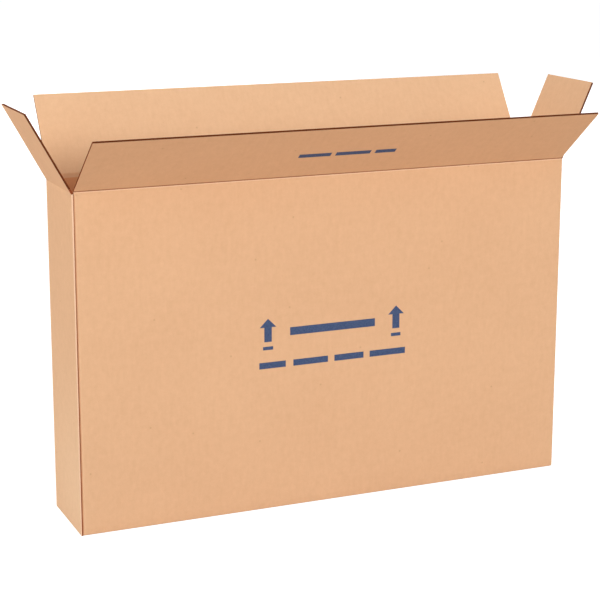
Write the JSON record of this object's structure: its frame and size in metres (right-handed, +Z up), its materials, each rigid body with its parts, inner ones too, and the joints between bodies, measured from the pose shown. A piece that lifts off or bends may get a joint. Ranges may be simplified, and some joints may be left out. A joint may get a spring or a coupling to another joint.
{
  "type": "flat-panel tv box",
  "caption": "Tall, narrow corrugated carton for a flat-panel television, glued at the base and standing open, with hinged full-overlap top flaps.",
  "frame": {"origin": "centre of the base, on the surface that the carton stands on", "axes": "+X along the carton's length, front wall towards -Y, +Z up"},
  "size_m": [1.4064, 0.4765, 0.9646],
  "materials": {
    "wall_board": "matt natural kraft liner",
    "flap_board": "matt natural kraft liner, raw fluted edges",
    "print_ink": "matt navy printing ink"
  },
  "bodies": {
    "carton": {"carton_body": "wall_board"},
    "front_top_flap": {"front_flap": "flap_board"},
    "back_top_flap": {"back_flap": "flap_board"},
    "left_top_flap": {"left_flap": "flap_board"},
    "right_top_flap": {"right_flap": "flap_board"}
  },
  "joints": [
    {"name": "front_crease", "type": "hinge", "parent": "carton", "child": "front_top_flap", "pos_m": [0, -0.10615, 0.7848], "axis": [1, 0, 0], "range_deg": [-141, 129]},
    {"name": "back_crease", "type": "hinge", "parent": "carton", "child": "back_top_flap", "pos_m": [0, 0.10615, 0.7896], "axis": [-1, 0, 0], "range_deg": [-123, 147]},
    {"name": "left_crease", "type": "hinge", "parent": "carton", "child": "left_top_flap", "pos_m": [-0.61415, 0, 0.78], "axis": [0, -1, 0], "range_deg": [-119, 151]},
    {"name": "right_crease", "type": "hinge", "parent": "carton", "child": "right_top_flap", "pos_m": [0.61415, 0, 0.78], "axis": [0, 1, 0], "range_deg": [-114, 156]}
  ]
}
